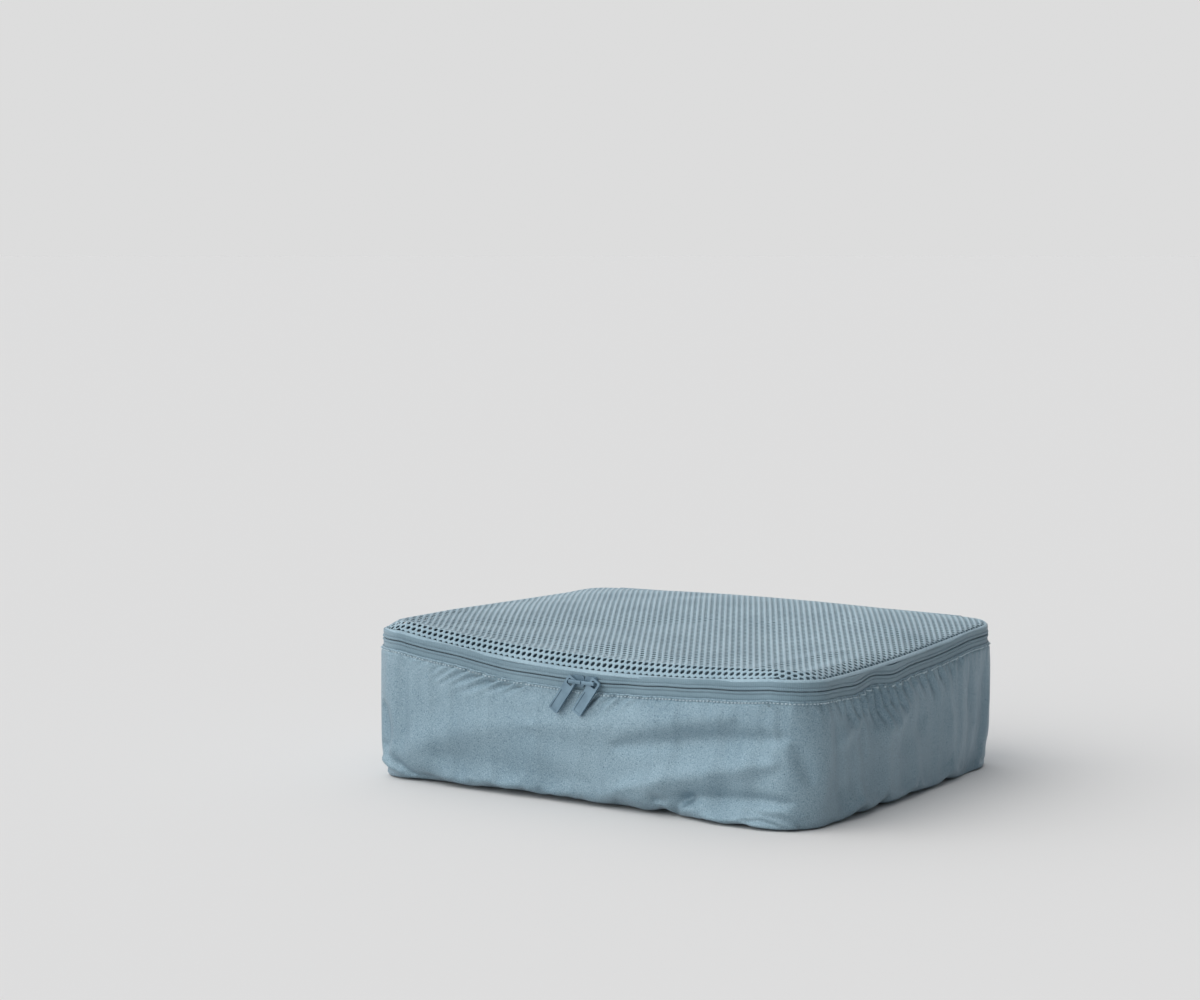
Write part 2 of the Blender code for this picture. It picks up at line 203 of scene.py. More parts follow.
def repeatAlong(bm, count, step):
    # copies what the bmesh holds until it stands count times, a step apart
    made = 1
    while made < count:
        copied = bmesh.ops.duplicate(bm, geom=bm.verts[:] + bm.edges[:] + bm.faces[:])["geom"]
        moved = [part for part in copied if isinstance(part, bmesh.types.BMVert)]
        bmesh.ops.translate(bm, vec=Vector(step) * made, verts=moved)
        made *= 2
    reach = Vector(step)
    limit = (count - 0.5) * reach.length_squared
    extra = [vert for vert in bm.verts if vert.co.dot(reach) > limit]
    bmesh.ops.delete(bm, geom=extra, context="VERTS")


def bendRow(piece, start, rise, outAt):
    # bends a straight row of small parts round the zip's line
    points = readVectors(piece.data)
    t = start + points[:, 0]
    bent = onZip(t, rise + points[:, 2], outAt(t) + points[:, 1])
    piece.data.vertices.foreach_set("co", bent.ravel())
    piece.data.update()


def readVectors(mesh):
    flat = np.zeros(len(mesh.vertices) * 3)
    mesh.vertices.foreach_get("co", flat)
    return flat.reshape(-1, 3)


def clothPlace(mesh):
    # each point's own lengths along and across the cloth, from the UV map
    uv = np.zeros(len(mesh.loops) * 2)
    mesh.uv_layers["cloth"].data.foreach_get("uv", uv)
    vertex = np.zeros(len(mesh.loops), int)
    mesh.loops.foreach_get("vertex_index", vertex)
    found = np.zeros((len(mesh.vertices), 2))
    found[vertex] = uv.reshape(-1, 2)
    return found[:, 0], found[:, 1]


def softRidge(t, z, points, width, height):
    # a raised fold, or a sunk one, along a line, fading out at both ends
    best = np.full(t.shape, 1e9)
    share = np.zeros(t.shape)
    legs = [math.dist(p, q) for p, q in zip(points, points[1:])]
    whole, gone = sum(legs), 0.0
    for (t0, z0), (t1, z1), leg in zip(points, points[1:], legs):
        k = np.clip(((t - t0) * (t1 - t0) + (z - z0) * (z1 - z0)) / (leg * leg), 0, 1)
        away = (t - t0 - k * (t1 - t0)) ** 2 + (z - z0 - k * (z1 - z0)) ** 2
        closer = away < best
        best = np.where(closer, away, best)
        share = np.where(closer, (gone + k * leg) / whole, share)
        gone += leg
    fade = np.sqrt(np.clip(4 * share * (1 - share), 0, 1)) * 0.75 + 0.25
    return height * fade * np.exp(-best / (width * fade) ** 2)


def foldOf(t, z, line, width, height):
    # a soft ridge whose line and sizes are in millimetres
    points = [(a / 1000, b / 1000) for a, b in line]
    return softRidge(t, z, points, width / 1000, height / 1000)


# shader maths as expressions

class Value:
    def __init__(self, maker, out):
        self.maker = maker
        self.out = out

    def maths(self, operation, *inputs):
        return self.maker.node("ShaderNodeMath", {"operation": operation}, dict(enumerate(inputs)))

    def __add__(self, other):
        return self.maths("ADD", self, other)

    def __sub__(self, other):
        return self.maths("SUBTRACT", self, other)

    def __rsub__(self, other):
        return self.maths("SUBTRACT", other, self)

    def __mul__(self, other):
        return self.maths("MULTIPLY", self, other)

    def wave(self, length):
        # a sine that repeats every length
        turned = self * (2 * math.pi / length)
        return turned.maths("SINE", turned)


class NodeMaker:
    def __init__(self, tree):
        self.tree = tree

    def put(self, socket, value):
        if isinstance(value, Value):
            self.tree.links.new(value.out, socket)
        else:
            socket.default_value = value

    def node(self, kind, settings, sockets, output=0):
        made = self.tree.nodes.new(kind)
        for setting, value in settings.items():
            if setting == "stops":
                for stop, (place, shade) in zip(made.color_ramp.elements, value):
                    stop.position = place
                    stop.color = (shade, shade, shade, 1.0)
            else:
                setattr(made, setting, value)
        for socket, value in sockets.items():
            self.put(made.inputs[socket], value)
        return Value(self, made.outputs[output])


class Finish(NodeMaker):
    def __init__(self, name, constants):
        self.material = bpy.data.materials.new(name)
        self.material.use_nodes = True
        super().__init__(self.material.node_tree)
        self.shader = self.tree.nodes["Principled BSDF"]
        for socket, value in constants.items():
            self.shader.inputs[socket].default_value = value

    def feed(self, socket, value):
        self.put(self.shader.inputs[socket], value)

    def place(self, source):
        return self.node("ShaderNodeTexCoord", {}, {}, source)

    def split(self, vector, axis):
        return self.node("ShaderNodeSeparateXYZ", {}, {0: vector}, axis)

    def noise(self, vector, scale, detail=2.0, roughness=0.5):
        return self.node("ShaderNodeTexNoise", {}, {
            "Vector": vector, "Scale": scale, "Detail": detail, "Roughness": roughness})

    def stretch(self, vector, scale):
        return self.node("ShaderNodeMapping", {}, {"Vector": vector, "Scale": scale})

    def ramp(self, factor, low, high):
        return self.node("ShaderNodeValToRGB", {"stops": ((low, 0.0), (high, 1.0))}, {0: factor})

    def blend(self, factor, first, second):
        return self.node("ShaderNodeMix", {"data_type": "RGBA"}, {
            0: factor, 6: (*first, 1.0) if isinstance(first, tuple) else first,
            7: (*second, 1.0) if isinstance(second, tuple) else second}, 2)

    def relief(self, height, distance, strength=1.0):
        self.feed("Normal", self.node("ShaderNodeBump", {}, {
            "Strength": strength, "Distance": distance, "Height": height}))


def tone(red, green, blue):
    # a screen colour from 0 to 255 as the linear colour that the shader takes
    return tuple(((c / 255 + 0.055) / 1.055) ** 2.4 for c in (red, green, blue))


def weaveHeight(u, v, pitch):
    # over and under of a plain weave, from lengths along and across the cloth
    return u.wave(pitch) * v.wave(pitch) * 0.5 + 0.5


nylon = {"light": (162, 186, 198), "dark": (101, 130, 147), "roughness": 0.33, "weave": 0.0007}


def makeNylon():
    finish = Finish("satinNylon", {
        "Sheen Weight": 0.12, "Sheen Roughness": 0.4, "Sheen Tint": (0.80, 0.90, 1.0, 1.0),
        "Specular IOR Level": 0.6, "Metallic": 0.42})
    cloth = finish.place("UV")
    solid = finish.place("Object")
    weave = weaveHeight(finish.split(cloth, 0), finish.split(cloth, 1), nylon["weave"])
    grain = finish.noise(solid, 1150.0, 2.0, 0.6)
    cloud = finish.noise(solid, 14.0, 3.0)
    shade = finish.ramp(cloud * 0.25 + grain * 0.75, 0.33, 0.67)
    finish.feed("Base Color", finish.blend(shade, tone(*nylon["dark"]), tone(*nylon["light"])))
    finish.feed("Roughness", grain * 0.30 + nylon["roughness"] - 0.15)
    crumple = finish.noise(solid, 160.0, 3.0, 0.55)
    finish.relief(weave * 0.35 + grain * 0.75 + crumple * 0.15, 0.00045, 0.8)
    return finish.material


tapeCloth = {"light": (136, 162, 175), "dark": (112, 138, 152), "weave": 0.0006,
             "zipRib": 0.0016, "ribbonRib": 0.0010}


def makeTape(name, ribPitch):
    finish = Finish(name, {
        "Sheen Weight": 0.3, "Sheen Roughness": 0.5, "Specular IOR Level": 0.35})
    cloth = finish.place("UV")
    solid = finish.place("Object")
    u, v = finish.split(cloth, 0), finish.split(cloth, 1)
    weave = weaveHeight(u, v, tapeCloth["weave"])
    rib = u.wave(ribPitch) * 0.5 + 0.5
    grain = finish.noise(solid, 1100.0, 2.0)
    cloud = finish.noise(solid, 35.0, 2.0)
    shade = finish.ramp(grain * 0.4 + cloud * 0.4 + rib * 0.2, 0.28, 0.72)
    finish.feed("Base Color", finish.blend(shade, tone(*tapeCloth["dark"]), tone(*tapeCloth["light"])))
    finish.feed("Roughness", grain * 0.15 + 0.55)
    finish.relief(weave * 0.5 + rib * 0.6 + grain * 0.3, 0.00025, 0.7)
    return finish.material


netYarn = {"light": (172, 198, 210), "dark": (132, 160, 175)}


def makeNetYarn():
    finish = Finish("netYarn", {
        "Sheen Weight": 0.35, "Sheen Roughness": 0.5, "Specular IOR Level": 0.4})
    solid = finish.place("Object")
    strands = finish.noise(finish.stretch(solid, (1.0, 0.35, 1.0)), 1400.0, 2.0)
    cloud = finish.noise(solid, 30.0, 3.0)
    shade = finish.ramp(strands * 0.6 + cloud * 0.4, 0.32, 0.68)
    finish.feed("Base Color", finish.blend(shade, tone(*netYarn["dark"]), tone(*netYarn["light"])))
    finish.feed("Roughness", strands * 0.2 + 0.48)
    finish.relief(strands, 0.00020, 0.8)
    return finish.material


coilPlastic = {"light": (120, 145, 158), "dark": (96, 120, 134)}


def makeCoilPlastic():
    finish = Finish("coilNylon", {"Specular IOR Level": 0.5, "Coat Roughness": 0.2})
    solid = finish.place("Object")
    haze = finish.noise(solid, 420.0, 2.0)
    shade = finish.ramp(haze, 0.35, 0.65)
    finish.feed("Base Color", finish.blend(shade, tone(*coilPlastic["dark"]), tone(*coilPlastic["light"])))
    finish.feed("Roughness", haze * 0.15 + 0.30)
    finish.relief(haze, 0.00005, 0.6)
    return finish.material


sewing = {"light": (202, 218, 225), "dark": (168, 192, 203)}


def makeThread():
    finish = Finish("sewingThread", {"Sheen Weight": 0.3, "Specular IOR Level": 0.5})
    solid = finish.place("Object")
    twist = finish.noise(solid, 2600.0, 1.0)
    shade = finish.ramp(twist, 0.35, 0.65)
    finish.feed("Base Color", finish.blend(shade, tone(*sewing["dark"]), tone(*sewing["light"])))
    finish.feed("Roughness", twist * 0.2 + 0.40)
    finish.relief(twist, 0.00006, 0.7)
    return finish.material


paint = {"light": (118, 145, 162), "dark": (98, 124, 141), "worn": (150, 166, 176)}


def makePaintedZinc():
    finish = Finish("paintedZinc", {
        "Specular IOR Level": 0.5, "Coat Roughness": 0.25, "Metallic": 0.25})
    solid = finish.place("Object")
    pool = finish.noise(solid, 90.0, 3.0)
    speck = finish.noise(solid, 1500.0, 2.0, 0.7)
    shade = finish.ramp(pool, 0.35, 0.65)
    coat = finish.blend(shade, tone(*paint["dark"]), tone(*paint["light"]))
    rubbed = finish.ramp(speck * 0.5 + finish.noise(solid, 260.0, 4.0, 0.7) * 0.5, 0.60, 0.68)
    finish.feed("Base Color", finish.blend(rubbed * 0.6, coat, tone(*paint["worn"])))
    finish.feed("Roughness", speck * 0.18 + 0.30)
    finish.relief(speck * 0.6 + pool * 0.4, 0.00005, 0.6)
    return finish.material


nylonCloth = makeNylon()
zipCloth = makeTape("zipTapeWeave", tapeCloth["zipRib"])
ribbon = makeTape("bindingRibbon", tapeCloth["ribbonRib"])
yarn = makeNetYarn()
coilNylon = makeCoilPlastic()
thread = makeThread()
zinc = makePaintedZinc()
print(round(time.time() - begun, 1), "finishes made")

# camera, floor and light

view = {"azimuth": 33.248, "elevation": 5.3585, "distance": 2.0, "lens": 78.9,
        "aimRight": 0.0179, "aimUp": 0.2315}


def addCamera():
    a, e = math.radians(view["azimuth"]), math.radians(view["elevation"])
    back = Vector((math.sin(a) * math.cos(e), -math.cos(a) * math.cos(e), math.sin(e)))
    right = Vector((math.cos(a), math.sin(a), 0.0))
    up = back.cross(right)
    camera = bpy.data.objects.new("camera", bpy.data.cameras.new("camera"))
    scene.collection.objects.link(camera)
    camera.data.lens = view["lens"]
    camera.data.sensor_width = 36.0
    foot = Vector((0.0, -cube["halfDepth"], 0.0))
    camera.location = foot + back * view["distance"] + right * view["aimRight"] + up * view["aimUp"]
    camera.rotation_euler = Matrix((right, up, back)).transposed().to_euler()
    scene.camera = camera


studio = {
    "backdrop": 0.722,         # what the camera sees beyond the floor
    "sky": 0.475,              # even part of the room's light
    "skyTint": (0.955, 1.0, 1.04),
    "fromLeft": 0.54,          # how much brighter the left of the room is
    "fromFront": 0.12,
    "fromAbove": 0.33,
    "floor": (0.820, 0.798, 0.785),
    "keyPower": 1.12,
    "keyTint": (1.0, 0.97, 0.92),
    "keySize": 70.0,
    "keyFrom": (-0.42, -0.66, 0.62),
}


def addStudio():
    world = bpy.data.worlds.new("studio")
    scene.world = world
    world.use_nodes = True
    room = NodeMaker(world.node_tree)
    direction = room.node("ShaderNodeTexCoord", {}, {}, 0)
    across = room.node("ShaderNodeSeparateXYZ", {}, {0: direction}, 0)
    depth = room.node("ShaderNodeSeparateXYZ", {}, {0: direction}, 1)
    height = room.node("ShaderNodeSeparateXYZ", {}, {0: direction}, 2)
    sideways = across * -studio["fromLeft"] + depth * -studio["fromFront"]
    light = sideways + height * studio["fromAbove"] + studio["sky"]
    seen = room.node("ShaderNodeLightPath", {}, {}, 0)
    sky = world.node_tree.nodes["Background"]
    room.put(sky.inputs["Strength"], seen * studio["backdrop"] + (1 - seen) * light)
    tint = room.node("ShaderNodeMix", {"data_type": "RGBA"}, {
        0: seen, 6: (*studio["skyTint"], 1.0), 7: (1.0, 1.0, 1.0, 1.0)}, 2)
    room.put(sky.inputs["Color"], tint)
    bm = bmesh.new()
    bmesh.ops.create_circle(bm, cap_ends=True, radius=400.0, segments=64)
    floor = addPiece("floor", bm)
    finish = Finish("paleFloor", {"Roughness": 0.9, "Specular IOR Level": 0.0})
    finish.feed("Base Color", (*studio["floor"], 1.0))
    floor.data.materials.append(finish.material)
    lamp = bpy.data.lights.new("keyLight", "SUN")
    lamp.energy = studio["keyPower"]
    lamp.color = studio["keyTint"]
    lamp.angle = math.radians(studio["keySize"])
    key = bpy.data.objects.new("keyLight", lamp)
    scene.collection.objects.link(key)
    key.rotation_euler = Vector(studio["keyFrom"]).to_track_quat("Z", "Y").to_euler()
    scene.view_settings.view_transform = "Standard"


addCamera()
addStudio()
print(round(time.time() - begun, 1), "camera, floor and light placed")

# the gusset: one long strip of nylon round the left side, front and right side

wall = {
    "clothStep": 0.0034,       # grid for the cloth's own hang, halved afterwards
    "rows": 28,
    "clothHeight": 0.1,        # what the cloth's own lengths count up to, from foot to seam
    "thickness": 0.0007,
    "cut": (1.060, 0.115),     # the strip before sewing
    "seamBelow": 0.0065,       # folded top edge, below the zip's line
    "bulge": 0.009,
    "tuck": 0.0062,            # how far the foot is turned in
    "seamFace": 0.0015,
    "foot": 0.0008,
    "cornerShare": 0.3,        # what is left of the bulge at a corner
    "squareCorners": ((0.507, 0.040, 0.75), (-0.195, 0.030, 0.5)),   # where the foot is barely tucked
    "slack": -0.022,           # cloth cut this much longer than the gap that it fills
    "pressure": 1.1,
    "settleFrames": 24,
    "sagLimit": 0.0065,
}

footLift = (  # where the bottom edge stands off the floor: place along, width, lift
    (-0.045, 0.075, 0.0030),
    (-0.140, 0.026, 0.0012),
    (0.040, 0.016, 0.0012),
    (0.076, 0.009, 0.0034),
    (0.262, 0.010, 0.0016),
    (0.300, 0.012, 0.0022),
    (0.352, 0.016, 0.0014),
    (0.415, 0.014, 0.0020),
    (-0.330, 0.040, 0.0016),
    (-0.430, 0.020, 0.0020),
)


def footHeight(t):
    lift = np.full(t.shape, wall["foot"])
    for place, width, up in footLift:
        lift += up * np.exp(-((t - place) / width) ** 2)
    return lift


def footInset(t):
    # how far inside the zip's outline the wall's foot is turned
    inset = np.full(np.shape(t), wall["tuck"])
    for place, width, share in wall["squareCorners"]:
        inset -= wall["tuck"] * share * np.exp(-((t - place) / width) ** 2)
    return inset


def wallOut(t, x, y, share):
    along = np.minimum(np.abs(x) / straightX, 1) * np.minimum(np.abs(y) / straightY, 1)
    full = wall["cornerShare"] + (1 - wall["cornerShare"]) * (1 - along ** 4)
    tuck = footInset(t)
    swell = (wall["bulge"] * full - wall["seamFace"]) * np.sin(np.pi * share ** 0.7)
    return wall["seamFace"] + swell - (tuck + wall["seamFace"]) * (1 - share) ** 9


def wallPoint(t, share):
    x, y, outX, outY = walk(t)
    lift, push = rimWander(t)
    top = rimHeight(x, y) + lift - wall["seamBelow"]
    foot = footHeight(t)
    out = wallOut(t, x, y, share) + push * share
    return np.stack((x + outX * out, y + outY * out, foot + (top - foot) * share), axis=-1)


def hangCloth(piece, pinned, settings):
    # lets the cloth settle under its own slack, and keeps how far each point moved within a limit
    before = readVectors(piece.data)
    group = piece.vertex_groups.new(name="pinned")
    for index, hold in enumerate(pinned):
        if hold > 0:
            group.add([index], float(hold), "REPLACE")
    cloth = piece.modifiers.new("hang", "CLOTH")
    cloth.settings.vertex_group_mass = "pinned"
    cloth.settings.pin_stiffness = 1.0
    cloth.settings.quality = 6
    cloth.settings.mass = 0.15
    cloth.settings.tension_stiffness = 18.0
    cloth.settings.compression_stiffness = 18.0
    cloth.settings.shear_stiffness = 8.0
    cloth.settings.bending_stiffness = 1.2
    cloth.settings.shrink_min = settings["slack"]
    cloth.settings.use_pressure = True
    cloth.settings.uniform_pressure_force = settings["pressure"]
    cloth.collision_settings.use_collision = False
    cloth.settings.effector_weights.gravity = 0.6
    last = settings["settleFrames"]
    scene.frame_start, scene.frame_end = 1, last
    cloth.point_cache.frame_start, cloth.point_cache.frame_end = 1, last
    for step in range(1, last + 1):
        scene.frame_set(step)
    graph = bpy.context.evaluated_depsgraph_get()
    after = readVectors(piece.evaluated_get(graph).data)
    piece.modifiers.clear()
    piece.vertex_groups.clear()
    scene.frame_set(1)
    moved = after - before
    length = np.linalg.norm(moved, axis=1)
    limit = settings["sagLimit"]
    keep = limit * np.tanh(length / limit) / np.maximum(length, 1e-9)
    piece.data.vertices.foreach_set("co", (before + moved * keep[:, None]).ravel())
    piece.data.update()


# broad folds of the walls, in millimetres: line along and up, half width, height
wallFolds = (
    # front: one long crest from the far bottom corner to below the seam, and the hollow under it
    (((-186, 14), (-140, 36), (-90, 52), (-40, 58)), 13, 3.0),
    (((-40, 58), (46, 66), (90, 73), (140, 82)), 13, 3.6),
    (((-110, 88), (-60, 84), (0, 82)), 7, -1.4),
    (((36, 49), (70, 55), (100, 59), (150, 65), (182, 69)), 9, -4.2),
    (((42, 18), (90, 31), (136, 42), (174, 50)), 9, 4.8),
    (((72, 13), (110, 18), (150, 21), (186, 22)), 6, -4.0),
    (((98, -1), (122, 3), (152, 5), (190, 3)), 6, 6.4),
    (((86, 0), (90, 9), (106, 20)), 4, -4.8),
    (((73, 0), (76, 12)), 5, 2.4),
    (((146, 16), (174, 15), (196, 11)), 3, 1.8),
    (((146, 6), (164, 7), (182, 3)), 1.8, -3.0),
    (((150, 2), (166, 2), (180, 0)), 1.8, 1.6),
    (((-185, 62), (-182, 42), (-180, 24)), 6, -4.6),
    (((-189, 30), (-174, 16), (-154, 7)), 4, -2.6),
    (((-190, 17), (-174, 9), (-152, 1)), 3, 2.6),
    (((-212, 90), (-210, 60), (-208, 24)), 9, -2.2),
    (((-140, 24), (-70, 22), (-20, 18), (10, 20)), 13, -2.2),
    (((-130, 6), (-80, 6), (-20, 4)), 7, 1.2),
    # near corner and right side
    (((166, 94), (176, 80), (190, 60), (198, 36)), 8, -3.0),
    (((208, 90), (214, 60), (208, 24)), 9, 2.0),
    (((242, 84), (256, 64), (268, 44)), 8, -1.6),
    (((286, 62), (312, 60), (338, 68)), 9, 3.4),
    (((228, 60), (246, 68), (264, 74)), 7, 3.0),
    (((276, 80), (300, 78), (318, 84)), 6, -1.6),
    (((318, 40), (346, 48), (372, 62)), 10, -2.2),
    (((225, 22), (262, 32), (300, 30)), 10, -1.8),
    (((352, 70), (372, 44), (384, 20)), 13, -1.2),
    (((400, 86), (412, 50), (404, 20)), 12, 2.0),
    (((448, 76), (458, 40)), 10, -1.6),
    (((470, 30), (486, 20), (510, 14)), 9, -1.4),
    (((236, 4), (262, 12), (290, 6)), 5, 1.8),
    (((310, 5), (340, 10), (372, 5)), 5, 1.6),
    (((384, 4), (410, 9), (436, 5)), 5, 1.4),
    # left side
    (((-225, 84), (-240, 50), (-232, 24)), 9, 2.0),
    (((-262, 84), (-284, 58), (-310, 40)), 10, -2.2),
    (((-300, 80), (-330, 56), (-360, 50)), 10, 2.6),
    (((-340, 30), (-390, 24), (-430, 34)), 10, -2.0),
    (((-400, 84), (-420, 60), (-440, 30)), 9, 2.0),
    (((-470, 70), (-480, 40)), 9, -1.8),
)

puckers = {"pitch": 0.0070, "width": 0.0016, "depth": 0.00075, "short": 0.004, "long": 0.014,
           "creaseDepth": 1.6}

# single sharper creases under the seam, in millimetres: place along, length, slant, width, depth
creases = (
    (-150, 6, -8, 2.2, 0.6), (-138, 7, -9, 2.2, 0.7), (-122, 9, -12, 2.4, 0.9),
    (-110, 12, -18, 2.6, 1.2), (-98, 14, -22, 2.8, 1.4), (-84, 13, -24, 3.2, 1.7),
    (-70, 15, -26, 3.6, 2.0), (-56, 11, -20, 3.2, 1.5), (-44, 10, -18, 3.0, 1.3),
    (14, 9, -12, 3.0, 1.4), (24, 13, -16, 3.2, 1.7), (36, 12, -14, 3.0, 1.4),
    (48, 11, -12, 2.8, 1.2), (60, 9, -8, 2.6, 0.9), (70, 7, -5, 2.4, 0.7), (196, 9, 2, 2.4, 0.9),
    (206, 11, 4, 2.4, 1.0), (216, 13, 5, 2.6, 1.2), (228, 12, 6, 2.6, 1.2), (238, 14, 7, 2.8, 1.3),
    (250, 17, 9, 2.8, 1.5), (261, 19, 10, 3.0, 1.7), (273, 22, 12, 3.0, 1.9),
    (284, 24, 13, 3.2, 2.0), (295, 19, 12, 3.0, 1.6), (306, 17, 11, 2.8, 1.4),
    (318, 19, 12, 3.0, 1.6), (331, 14, 9, 2.8, 1.2), (346, 12, 8, 2.6, 1.0), (362, 14, 8, 2.8, 1.2),
    (377, 17, 9, 3.0, 1.4), (395, 14, 8, 2.8, 1.1), (412, 10, 6, 2.6, 0.8), (430, 9, 4, 2.4, 0.8),
    (-206, 11, -4, 2.4, 1.0), (-222, 13, -6, 2.6, 1.2), (-240, 16, -8, 2.8, 1.4),
    (-258, 14, -8, 2.8, 1.3), (-276, 18, -10, 3.0, 1.6), (-296, 15, -9, 2.8, 1.3),
    (-320, 12, -7, 2.6, 1.1), (-345, 16, -9, 2.8, 1.4), (-372, 13, -8, 2.6, 1.1),
    (-400, 15, -8, 2.8, 1.3), (-428, 11, -6, 2.6, 1.0),
)


def wallRelief(t, z, top):
    # how far the folds, creases and puckers stand out of the plain wall
    out = np.zeros(t.shape)
    for line, width, height in wallFolds:
        out += foldOf(t, z, line, width, height)
    below = top - z
    for place, length, slant, width, depth in creases:
        lean = np.clip(below / (length / 1000), 0, 3)
        away = (t - place / 1000 - slant / 1000 * lean) / (width / 1000 * (0.6 + 0.6 * lean))
        reach = np.clip(below / 0.002, 0, 1) * np.exp(-(below / (length / 1000)) ** 2)
        depth = depth / 1000 * puckers["creaseDepth"] * (1 + 1.3 * np.clip((place - 205) / 50, 0, 1))
        out -= depth * reach * np.exp(-away ** 2)
        out += 0.5 * depth * reach * np.exp(-(away - 1.7) ** 2)
    place = -zipEnd
    while place < zipEnd:
        length = chance.uniform(puckers["short"], puckers["long"])
        depth = puckers["depth"] * chance.uniform(0.3, 1.3) * (1.5 if abs(place) > straightX else 0.9)
        slant = chance.uniform(-0.5, 0.5) * 0.4
        away = (t - place - slant * below) / puckers["width"]
        reach = np.clip(below / 0.0015, 0, 1) * np.exp(-(below / length) ** 2)
        out -= depth * reach * np.exp(-away ** 2)
        place += puckers["pitch"] * chance.uniform(0.6, 1.5)
    return out


def addGusset():
    steps = round(2 * zipEnd / wall["clothStep"])
    along = np.linspace(-zipEnd, zipEnd, steps + 1)
    even = np.linspace(0, 1, wall["rows"] + 1)
    share = even - 0.055 * np.sin(2 * np.pi * even)   # closer rows at the foot and the seam
    high = wall["clothHeight"]
    gusset = bentGrid("gusset_cloth", along, share * high, lambda t, v: wallPoint(t, v / high))
    t, v = clothPlace(gusset.data)
    pinned = (v < 0.0012) | (v > high - 0.0012) | (np.abs(t) > zipEnd - 0.001)
    hangCloth(gusset, pinned.astype(float), wall)
    smooth = gusset.modifiers.new("smooth", "SUBSURF")
    smooth.levels = smooth.render_levels = 1
    smooth.uv_smooth = "NONE"
    settle(gusset)
    t, v = clothPlace(gusset.data)
    points = readVectors(gusset.data)
    x, y, outX, outY = walk(t)
    lift, _ = rimWander(t)
    top = rimHeight(x, y) + lift - wall["seamBelow"]
    out = wallRelief(t, points[:, 2], top) * np.clip(v / 0.004, 0, 1)
    below = top - points[:, 2]
    out -= 0.0008 * np.exp(-((below - 0.0023) / 0.0010) ** 2)   # the stitched line
    out += 0.0003 * np.exp(-((below - 0.0008) / 0.0009) ** 2)   # the folded edge above it
    out -= 0.0008 * np.clip(1 - below / 0.0006, 0, 1)
    points[:, 0] += outX * out
    points[:, 1] += outY * out
    points[:, 2] = np.maximum(points[:, 2], 0.0004)
    gusset.data.vertices.foreach_set("co", points.ravel())
    gusset.data.update()
    face = (points[:, 0] - x) * outX + (points[:, 1] - y) * outY
    onSeam = np.abs(below - stitch["belowSeam"]) < 0.0011
    thicken(gusset, wall["thickness"])
    finishPiece(gusset, nylonCloth, "shell_fabric", "case", "gusset")
    order = np.argsort(t[onSeam])
    return t[onSeam][order], face[onSeam][order]


stitch = {"pitch": 0.0029, "length": 0.0021, "radius": 0.00050, "proud": 0.0007, "belowSeam": 0.0022}
seamPlace, seamFace = addGusset()
print(round(time.time() - begun, 1), "gusset hung and creased")

# the back panel and the base

back = {"halfWidth": backHigh.x + 0.0020, "top": backHigh.z, "thickness": 0.0007, "step": 0.004,
        "clothHeight": 0.125, "cut": (0.338, 0.125)}

backFolds = (  # in millimetres: line across and up, half width, height
    (((-130, 70), (-60, 56), (20, 60), (100, 74)), 12, 1.6),
    (((-100, 36), (0, 28), (90, 40)), 14, -1.6),
    (((-150, 96), (-144, 70)), 7, -1.0),
    (((60, 100), (52, 76)), 6, -0.9),
    (((-40, 102), (-30, 82)), 6, -1.0),
    (((120, 98), (132, 66)), 8, -1.2),
    (((-120, 10), (-60, 16), (10, 8)), 6, 1.2),
)


def addBack():
    columns = round(2 * back["halfWidth"] / back["step"])
    across = np.linspace(-back["halfWidth"], back["halfWidth"], columns + 1)
    share = np.linspace(0, 1, 31)
    high = back["clothHeight"]

    def place(a, v):
        z = wall["foot"] + (back["top"] - wall["foot"]) * v / high
        around = np.sign(-a) * (roundTrip - np.abs(a))
        depth = np.full(a.shape, cube["halfDepth"])
        out = wallOut(around, a, depth, np.clip(v / high * 1.13, 0, 1))
        for line, width, height in backFolds:
            out = out + foldOf(a, z, line, width, height)
        return np.stack((-a, cube["halfDepth"] + out, z), axis=-1)

    panel = bentGrid("back_panel_cloth", across, share * high, place)
    thicken(panel, back["thickness"], 1)
    finishPiece(panel, nylonCloth, "shell_fabric", "case", "back_panel")


base = {"gap": -0.0002, "thickness": 0.0008, "columns": 96, "rows": 78, "ripple": 0.0006,
        "cut": (0.388, 0.312), "area": 0.1205}


def insideOutline(a, inset):
    # plan places on the outline moved inwards, from how far along the whole outline they are
    x, y, outX, outY = walk(a)
    return x - outX * inset, y - outY * inset


